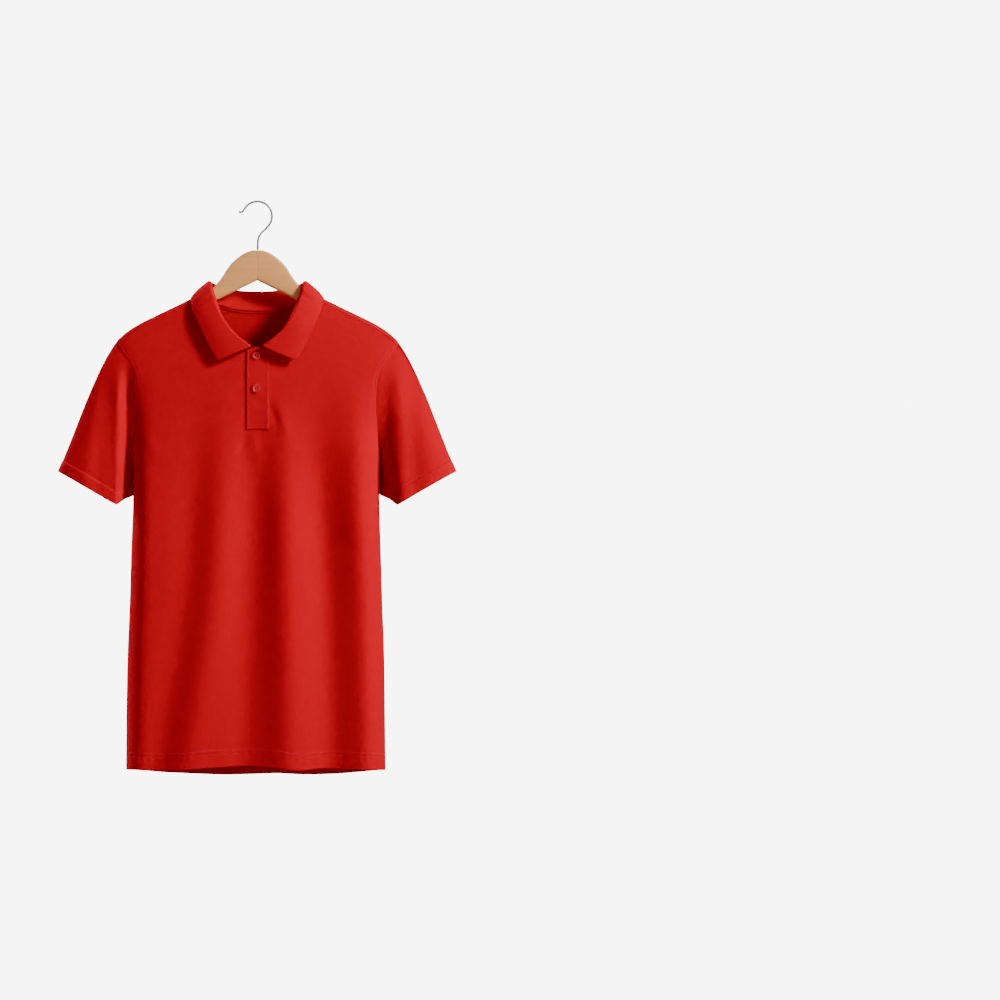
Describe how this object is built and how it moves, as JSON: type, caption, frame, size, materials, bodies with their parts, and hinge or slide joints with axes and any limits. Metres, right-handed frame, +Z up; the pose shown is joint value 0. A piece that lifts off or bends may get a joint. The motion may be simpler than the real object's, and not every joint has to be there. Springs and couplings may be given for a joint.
{
  "type": "polo shirt on a hanger",
  "caption": "Short-sleeved polo shirt with a folded collar and buttoned neck placket, hung on a plain wooden hanger with a wire hook.",
  "frame": {"origin": "the point inside the top of the hook where a rail carries the hanger", "axes": "+Z up; the shirt's front faces -Y; +X runs to the wearer's left, across the shoulders"},
  "size_m": [0.6072, 0.0899, 0.8741],
  "materials": {
    "pique": "matt cotton pique knit",
    "rib": "matt flat rib knit",
    "tape": "matt woven cotton tape",
    "buttons": "satin moulded plastic",
    "wood": "satin pale beech",
    "wire": "dull grey steel wire"
  },
  "bodies": {
    "root": {"front": "pique", "back": "pique", "sleeve_left": "pique", "sleeve_right": "pique", "cuff_left": "rib", "cuff_right": "rib", "collar": "rib", "placket_top": "pique", "placket_under": "pique", "button_1": "buttons", "button_2": "buttons", "neck_tape": "tape", "hanger": "wood", "hanger_hook": "wire"}
  },
  "joints": []
}
